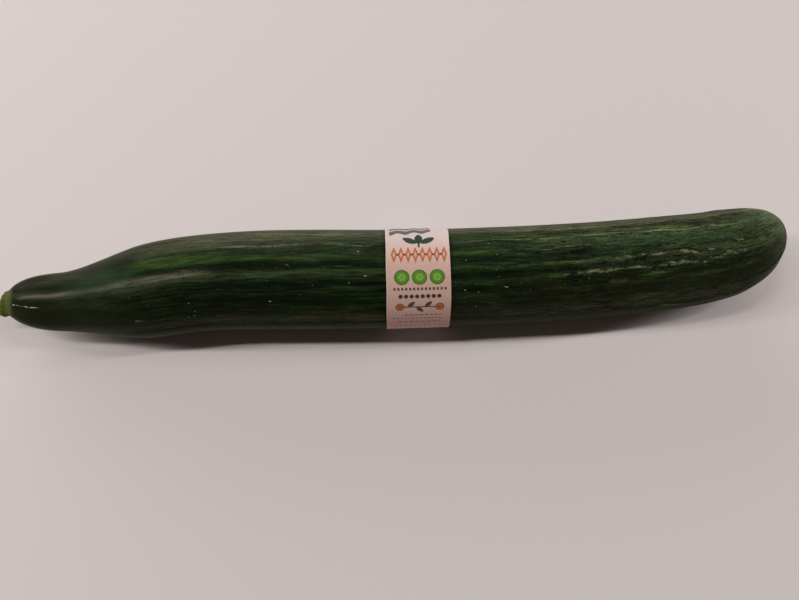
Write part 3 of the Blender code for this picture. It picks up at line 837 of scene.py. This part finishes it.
def paper_material():
    """Uncoated paper with a plain printed pattern: a wavy ribbon, leaves, lozenges, slices, dots, a sprig and dashes."""
    n = Nodes("band_paper")
    place = n.attribute("print_mm", vector=True)
    u, v, back = n.split(place)[0:3]
    soft = 0.09
    front = n.ramp(back, 0.2, 0.6, 1.0, 0.0)

    def inside(distance):
        """1 where a distance field is under 0, with a soft edge."""
        return n.ramp(distance, -soft, soft, 1.0, 0.0)

    def box(cu, cv, hu, hv):
        du = n.sub(n.math("ABSOLUTE", n.sub(u, cu)), hu)
        dv = n.sub(n.math("ABSOLUTE", n.sub(v, cv)), hv)
        return n.math("MAXIMUM", du, dv)

    def disc(cu, cv, radius):
        du, dv = n.sub(u, cu), n.sub(v, cv)
        return n.sub(n.math("SQRT", n.add(n.mul(du, du), n.mul(dv, dv))), radius)

    def leaf(cu, cv, half, thick, tilt):
        """An almond: where two large discs overlap."""
        c, s = math.cos(math.radians(tilt)), math.sin(math.radians(tilt))
        radius = (half * half + thick * thick) / (2 * thick)
        off = radius - thick
        one = disc(cu - off * s, cv + off * c, radius)
        two = disc(cu + off * s, cv - off * c, radius)
        return n.math("MAXIMUM", one, two)

    def both(*shapes):
        shape = shapes[0]
        for other in shapes[1:]:
            shape = n.math("MINIMUM", shape, other)
        return shape

    def repeated(count, first, step):
        """u folded onto one cell of a row, so that a row is drawn once: the distance to the nearest centre."""
        index = n.math("ROUND", n.math("DIVIDE", n.sub(u, first), step))
        index = n.math("MINIMUM", n.math("MAXIMUM", index, 0.0), float(count - 1))
        return n.sub(u, n.add(n.mul(index, step), first)), index

    fibre = n.noise(n.scaled(place, 1.6, 1.6, 1.0), detail=4, rough=0.7)
    cloud = n.noise(n.scaled(place, 0.10, 0.10, 1.0, (4, 2, 0)), detail=3)
    # a pink tint of the paper's own, painted paler towards the top as glare and deeper further down as shade
    tint = n.ramp(v, -24.0, -4.0)
    deeper = n.ramp(v, 2.0, 26.0)
    low = n.mix(deeper, (0.640, 0.430, 0.375), (0.590, 0.362, 0.315))
    high = n.mix(deeper, (0.715, 0.490, 0.435), (0.660, 0.422, 0.370))
    paper = n.mix(fibre, n.mix(tint, (0.600, 0.487, 0.480), low), n.mix(tint, (0.690, 0.577, 0.575), high))
    paper = n.mix(n.mul(cloud, 0.25), paper, n.mix(tint, (0.56, 0.44, 0.42), (0.54, 0.345, 0.295)))

    # grey wavy ribbon near the top
    wave = n.mul(n.math("SINE", n.mul(u, 2 * math.pi / 7.4)), 0.9)
    across = n.sub(n.math("ABSOLUTE", n.sub(u, 11.2)), 9.4)
    wave = n.sub(wave, n.mul(n.sub(u, 11.2), 0.10))
    ribbon = n.math("MAXIMUM", n.sub(n.math("ABSOLUTE", n.sub(v, n.add(wave, -28.0))), 3.9), across)
    paper = n.mix(n.mul(inside(ribbon), 0.92), paper, (0.086, 0.078, 0.082))
    thread = n.math("MAXIMUM", n.sub(n.math("ABSOLUTE", n.sub(v, n.add(wave, -28.6))), 0.8), across)
    paper = n.mix(n.mul(inside(thread), 0.8), paper, (0.60, 0.56, 0.56))

    # three dark green leaves on a short stalk
    sprig = both(
        leaf(10.8, -18.4, 3.7, 1.75, 32),
        leaf(19.0, -18.4, 3.7, 1.75, -32),
        leaf(14.9, -19.4, 3.6, 1.85, 90),
        box(14.9, -15.6, 0.42, 1.5),
    )
    paper = n.mix(n.mul(inside(sprig), 0.96), paper, (0.006, 0.030, 0.013))

    # a row of tall orange lozenges, with small dark ones between them
    du, _ = repeated(8, 3.6, 3.22)
    tall = n.sub(n.add(n.math("ABSOLUTE", du), n.mul(n.math("ABSOLUTE", n.sub(v, -10.2)), 0.33)), 1.40)
    ink = n.mix(fibre, (0.430, 0.085, 0.022), (0.520, 0.135, 0.045))
    paper = n.mix(n.mul(inside(tall), 0.92), paper, ink)
    hole = n.sub(n.add(n.math("ABSOLUTE", du), n.mul(n.math("ABSOLUTE", n.sub(v, -10.2)), 0.33)), 0.62)
    paper = n.mix(n.mul(inside(hole), 0.8), paper, (0.68, 0.45, 0.34))
    dv, _ = repeated(7, 5.21, 3.22)
    dots = n.sub(n.add(n.math("ABSOLUTE", dv), n.math("ABSOLUTE", n.sub(v, -10.2))), 0.72)
    paper = n.mix(n.mul(inside(dots), 0.9), paper, (0.095, 0.035, 0.030))

    # three round slices: rind, flesh, a paler middle and seeds
    cu, _ = repeated(3, 6.9, 7.9)
    cv = n.sub(v, 0.4)
    r = n.math("SQRT", n.add(n.mul(cu, cu), n.mul(cv, cv)))
    paper = n.mix(n.mul(inside(n.sub(r, 3.45)), 0.95), paper, (0.050, 0.165, 0.012))
    paper = n.mix(n.mul(inside(n.sub(r, 2.75)), 0.95), paper, (0.105, 0.290, 0.024))
    paper = n.mix(n.mul(inside(n.sub(r, 1.75)), 0.8), paper, (0.165, 0.365, 0.050))
    around = n.math("ARCTAN2", cv, cu)
    seeds = n.math("COSINE", n.mul(around, 6.0))
    seed = n.math("MAXIMUM", n.sub(n.math("ABSOLUTE", n.sub(r, 1.15)), 0.42), n.mul(n.sub(0.55, seeds), 0.4))
    paper = n.mix(n.mul(inside(seed), 0.7), paper, (0.56, 0.60, 0.30))

    # a row of small dark squares, a rule and a row of dark dots
    def dashed(row, half, length, gap, half_span, middle=14.8, shift=0.0):
        """A row of dashes: its distance field."""
        ripple = n.math("COSINE", n.mul(n.sub(u, shift), 2 * math.pi / (length + gap)))
        cut = n.mul(n.sub(math.cos(math.pi * length / (length + gap)), ripple), 0.5)
        return n.math("MAXIMUM", box(middle, row, half_span, half), cut)

    dark_ink = (0.018, 0.012, 0.011)
    paper = n.mix(n.mul(inside(dashed(5.7, 0.62, 1.0, 0.75, 12.2)), 0.85), paper, dark_ink)
    pu, _ = repeated(8, 6.2, 2.46)
    pv = n.sub(v, 9.2)
    bead = n.sub(n.math("SQRT", n.add(n.mul(pu, pu), n.mul(pv, pv))), 0.98)
    paper = n.mix(n.mul(inside(bead), 0.93), paper, dark_ink)

    # a lying sprig with a small orange fruit at each end
    twig = both(
        box(14.8, 14.6, 7.4, 0.30),
        leaf(11.0, 13.2, 2.1, 0.95, -40),
        leaf(14.8, 16.0, 2.1, 0.95, 40),
        leaf(18.6, 13.2, 2.1, 0.95, -40),
    )
    paper = n.mix(n.mul(inside(twig), 0.9), paper, (0.030, 0.026, 0.018))
    paper = n.mix(n.mul(inside(both(disc(5.9, 14.6, 1.95), disc(23.7, 14.6, 1.95))), 0.9), paper, (0.050, 0.028, 0.016))
    paper = n.mix(n.mul(inside(both(disc(5.9, 14.6, 1.55), disc(23.7, 14.6, 1.55))), 0.9), paper, (0.50, 0.175, 0.035))
    paper = n.mix(n.mul(inside(both(disc(5.9, 14.6, 0.6), disc(23.7, 14.6, 0.6))), 0.9), paper, (0.24, 0.050, 0.020))

    # broken rules under it, and small squares at the lower edge
    rules = both(
        dashed(19.4, 0.34, 1.5, 0.7, 8.4, 16.0, 0.3),
        dashed(21.8, 0.34, 0.8, 0.9, 11.4, 14.2),
        dashed(24.6, 0.34, 1.9, 0.7, 9.6, 14.8, 0.9),
    )
    paper = n.mix(n.mul(inside(rules), 0.75), paper, (0.050, 0.030, 0.026))
    paper = n.mix(n.mul(inside(dashed(28.8, 0.40, 0.9, 1.3, 11.5)), 0.8), paper, (0.050, 0.030, 0.026))

    # painted shade: the underside, where the band turns under the fruit, is painted a darker grey
    paper = n.mix(n.mul(n.ramp(v, 31.0, 38.0), 0.8), paper, (0.36, 0.35, 0.33))

    # the far side: a broad green stripe between two thin ones, along the length of the strip
    far_left = n.math("ABSOLUTE", n.sub(v, -57.0))
    stripe = n.math("MAXIMUM", n.sub(n.math("ABSOLUTE", n.sub(u, 14.8)), 3.4), n.sub(far_left, 13.0))
    paper = n.mix(n.mul(inside(stripe), 0.9), paper, (0.120, 0.300, 0.035))
    hair = n.sub(n.math("ABSOLUTE", n.sub(n.math("ABSOLUTE", n.sub(u, 14.8)), 4.6)), 0.22)
    hair = n.math("MAXIMUM", hair, n.sub(far_left, 13.0))
    paper = n.mix(n.mul(inside(hair), 0.9), paper, (0.010, 0.040, 0.018))

    # the ink is thin where the paper's fibres stand up, and the lower corner is scuffed
    scuffed = n.noise(n.scaled(place, 1.5, 1.5, 1.0, (9, 9, 0)), detail=3, rough=0.8)
    corner = n.mul(n.ramp(u, 22.0, 28.0), n.mul(n.ramp(v, 12.0, 18.0), n.ramp(v, 28.0, 34.0, 1.0, 0.0)))
    paper = n.mix(n.mul(n.mul(n.ramp(scuffed, 0.54, 0.62), corner), 0.55), paper, (0.16, 0.12, 0.11))
    bare = n.mix(fibre, (0.66, 0.57, 0.53), (0.74, 0.66, 0.62))
    paper = n.mix(front, bare, paper)
    # the cut edges are painted paler: the paper's white inside, and a painted highlight where the edges catch the light
    rim = n.math("MAXIMUM", n.ramp(u, 0.05, 0.35, 1.0, 0.0), n.ramp(u, 29.25, 29.55))
    paper = n.mix(n.mul(rim, 0.7), paper, (0.80, 0.74, 0.70))
    n.link(paper, n.shader.inputs["Base Color"])
    n.link(n.add(0.56, n.mul(n.sub(fibre, 0.5), 0.2)), n.shader.inputs["Roughness"])
    n.shader.inputs["IOR"].default_value = 1.22
    crease = n.noise(n.scaled(place, 0.16, 0.45, 1.0, (2, 5, 0)), detail=3, rough=0.5)
    height = n.add(n.mul(fibre, 0.10), n.mul(crease, 0.9))
    n.link(n.bump(height, 0.00035, 0.6), n.shader.inputs["Normal"])
    return n.material


# ------------------------------------------------------------------ the stem stub
def make_stem():
    """The cut stalk: a thick collar where it grows from the fruit, five soft ridges, and a cut face that is a little hollow."""
    factor = SEAT_RADIUS / radius_at(STEM_END_X)
    seat_x = np.array([x_at_stem(factor)])
    tangent, side, up = (v[0] for v in frames_at(seat_x))
    seat = centres_at(seat_x, end_factor(seat_x))[0]
    profile = [
        (-1.6, 6.6), (-0.9, 6.5), (-0.3, 6.4), (0.3, 6.3), (0.8, 6.2), (1.3, 6.05), (1.8, 5.85), (2.3, 5.65),
        (2.8, 5.4), (3.3, 5.05), (3.6, 4.65), (3.9, 4.15), (4.3, 3.72), (5.0, 3.48), (5.8, 3.40), (7.4, 3.34),
        (9.2, 3.30), (10.6, 3.34), (11.25, 3.36), (11.42, 3.18), (11.48, 2.6), (11.42, 2.0), (11.34, 1.2), (11.30, 0.5),
    ]
    s = np.array([p[0] for p in profile])
    rows_s = np.concatenate([np.linspace(a, b, 4, endpoint=False) for a, b in zip(s[:-1], s[1:])] + [[s[-1]]])
    index = np.concatenate([np.linspace(i, i + 1, 4, endpoint=False) for i in range(len(s) - 1)] + [[len(s) - 1.0]])
    rows_r = np.interp(index, np.arange(len(s)), [p[1] for p in profile])
    turns = np.linspace(0, 2 * math.pi, 96, endpoint=False)
    rough = waves(16, 1.4, 3.0, 31)
    S, T = np.meshgrid(rows_s, turns, indexing="ij")
    R = np.repeat(rows_r[:, None], len(turns), 1)
    wall = eased(R, 0.5, 2.6)
    ridge = 0.06 * eased(S, 3.4, 6.0) * np.cos(5 * (T - 0.3)) + 0.016 * np.cos(15 * T + 1)
    R = R * (1 + ridge * wall) + 0.05 * wall * rough(S * 1.0, T) * eased(S, -1.6, 0.6)
    # the cut isn't quite square, and the stalk bends a little
    S = S + 0.22 * eased(S, 9.6, 11.4) * (R * np.sin(T + 0.6)) / 3 - 0.1 * eased(S, 9.6, 11.4)
    ring = np.sin(T)[..., None] * side - np.cos(T)[..., None] * up
    shifted = eased(S, 1.6, 4.5)[..., None] * np.array([0.0, -2.5, -1.1])
    points = seat - S[..., None] * tangent + R[..., None] * ring + shifted
    rows, around = R.shape
    faces = [tuple(reversed(f)) for f in grid_faces(rows, around)]
    flat = np.concatenate([points.reshape(-1, 3), [points[-1].mean(0), points[0].mean(0)]])
    for k in range(around):
        m = (k + 1) % around
        faces.append(((rows - 1) * around + m, (rows - 1) * around + k, rows * around))
        faces.append((k, m, rows * around + 1))
    stem = new_object("stem_stalk", flat, faces)
    cut = np.repeat(eased(index, 17.4, 18.6)[:, None], around, 1)
    pad = lambda v: np.concatenate([v.reshape(-1), [v[-1].mean(), v[0].mean()]])
    attribute(stem.data, "cut_face", pad(cut))
    attribute(stem.data, "from_axis", pad(R))
    attribute(stem.data, "along_mm", pad(S))
    around_mm = np.stack([S, 3 * np.cos(T), 3 * np.sin(T)], -1).reshape(-1, 3)
    attribute(stem.data, "grain_mm", np.concatenate([around_mm, [[11.3, 0, 0], [-1.6, 0, 0]]]))
    return stem


def stem_material():
    n = Nodes("stem_tissue")
    grain, cut, axis, s = n.attribute("grain_mm", True), n.attribute("cut_face"), n.attribute("from_axis"), n.attribute("along_mm")
    lines = n.noise(n.scaled(grain, 0.25, 2.2, 2.2), detail=4, rough=0.6)
    blotch = n.noise(n.scaled(grain, 0.5, 0.6, 0.6, (4, 0, 0)), detail=3)
    side = n.mix(lines, (0.140, 0.146, 0.012), (0.330, 0.312, 0.034))
    side = n.mix(n.mul(n.ramp(s, 1.2, 5.0, 1.0, 0.0), 0.9), side, n.mix(lines, (0.034, 0.058, 0.012), (0.120, 0.136, 0.038)))
    side = n.mix(n.mul(n.ramp(blotch, 0.45, 0.72), 0.7), side, (0.060, 0.070, 0.006))
    side = n.mix(n.mul(n.ramp(s, 6.5, 10.5), 0.45), side, (0.26, 0.235, 0.09))
    rings = n.noise(n.scaled(n.position(), 900, 900, 900), detail=3)
    face = n.mix(rings, (0.26, 0.27, 0.12), (0.40, 0.40, 0.22))
    face = n.mix(n.ramp(n.math("ABSOLUTE", n.sub(axis, 2.0)), 0.15, 0.4, 0.7, 0.0), face, (0.12, 0.15, 0.045))
    face = n.mix(n.ramp(axis, 0.6, 1.1, 0.7, 0.0), face, (0.17, 0.15, 0.07))
    n.link(n.mix(cut, side, face), n.shader.inputs["Base Color"])
    n.link(n.add(0.55, n.mul(lines, 0.2)), n.shader.inputs["Roughness"])
    n.shader.inputs["IOR"].default_value = 1.16
    n.link(n.bump(n.add(lines, n.mul(rings, 0.4)), 0.00025, 0.6), n.shader.inputs["Normal"])
    return n.material


# ------------------------------------------------------------------ the pieces
fruit = make_fruit()
fruit.data.materials.append(skin_material())
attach(fruit, "root")
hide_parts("fruit")

band = make_band()
band.data.materials.append(paper_material())
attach(band, "root")
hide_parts("label_band")

stem = make_stem()
stem.data.materials.append(stem_material())
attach(stem, "root")
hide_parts("stem_stub")

# ------------------------------------------------------------------ the floor
floor_mesh = bpy.data.meshes.new("floor")
floor_mesh.from_pydata([(-6, -6, 0), (6, -6, 0), (6, 6, 0), (-6, 6, 0)], [], [(0, 1, 2, 3)])
floor = bpy.data.objects.new("floor", floor_mesh)
floor.location = (0, 0, -0.00008)
bpy.context.scene.collection.objects.link(floor)
n = Nodes("floor_pale")
n.shader.inputs["Base Color"].default_value = (0.700, 0.640, 0.662, 1)
n.shader.inputs["Roughness"].default_value = 0.7
n.shader.inputs["IOR"].default_value = 1.3
floor_mesh.materials.append(n.material)

# ------------------------------------------------------------------ lights
world = bpy.data.worlds.new("soft_room")
bpy.context.scene.world = world
world.use_nodes = True
world.node_tree.nodes["Background"].inputs["Color"].default_value = (1.0, 0.82, 0.70, 1)
world.node_tree.nodes["Background"].inputs["Strength"].default_value = 0.06


REACH = 1.5  # metres from the cucumber to each lamp


def strip_lamp(name, lean, half_span, power, back, colour):
    """A long narrow lamp over the cucumber, in line with it. lean is how far from straight overhead, to +X."""
    light = bpy.data.lights.new(name, "AREA")
    light.shape, light.energy, light.color = "RECTANGLE", power, colour
    light.size = 2 * REACH * math.tan(math.radians(half_span))
    light.size_y = 0.07
    made = bpy.data.objects.new(name, light)
    s, c = math.sin(math.radians(lean)), math.cos(math.radians(lean))
    made.matrix_world = Matrix(
        ((c, 0, s, s * REACH), (0, 1, 0, back), (-s, 0, c, c * REACH), (0, 0, 0, 1))
    )
    bpy.context.scene.collection.objects.link(made)


def panel_lamp(name, direction, distance, width, height, power, colour):
    light = bpy.data.lights.new(name, "AREA")
    light.shape, light.size, light.size_y, light.energy, light.color = "RECTANGLE", width, height, power, colour
    made = bpy.data.objects.new(name, light)
    d = Vector(direction).normalized()
    made.location = d * distance
    made.rotation_euler = d.to_track_quat("Z", "Y").to_euler()
    bpy.context.scene.collection.objects.link(made)


LEFT_LIGHT, RIGHT_LIGHT = (1.0, 0.965, 0.89), (0.99, 0.965, 0.91)
strip_lamp("lamp_far_left", -54, 13, 6.3, 0.09, LEFT_LIGHT)
strip_lamp("lamp_left", -26, 12, 5.5, 0.05, LEFT_LIGHT)
strip_lamp("lamp_over", 3, 9, 0.85, 0.04, LEFT_LIGHT)
strip_lamp("lamp_right", 40, 13, 5.0, 0.065, RIGHT_LIGHT)
strip_lamp("lamp_far_right", 67, 10, 5.8, 0.09, RIGHT_LIGHT)
panel_lamp("window_back", (-0.37, 0.88, 0.30), 1.5, 2.2, 0.70, 14.3, (0.99, 0.98, 0.95))

# ------------------------------------------------------------------ camera
AZIMUTH, ELEVATION, DISTANCE = math.radians(4.9), math.radians(67.0), 0.310
TARGET = Vector((0.00443, -0.00245, 0.0))
forward = Vector(
    (
        math.sin(AZIMUTH) * math.cos(ELEVATION),
        math.cos(AZIMUTH) * math.cos(ELEVATION),
        -math.sin(ELEVATION),
    )
)
right = Vector((math.cos(AZIMUTH), -math.sin(AZIMUTH), 0.0))
upward = right.cross(forward)
camera = bpy.data.objects.new("camera", bpy.data.cameras.new("camera"))
camera.data.lens, camera.data.sensor_width = 27.0, 36.0
camera.data.clip_start = 0.01
camera.matrix_world = Matrix.Translation(TARGET - forward * DISTANCE) @ Matrix(
    (
        (right.x, upward.x, -forward.x, 0),
        (right.y, upward.y, -forward.y, 0),
        (right.z, upward.z, -forward.z, 0),
        (0, 0, 0, 1),
    )
)
bpy.context.scene.collection.objects.link(camera)
bpy.context.scene.camera = camera

view = bpy.context.scene.view_settings
view.view_transform, view.look = "Standard", "None"
view.exposure, view.gamma = 0.0, 1.0
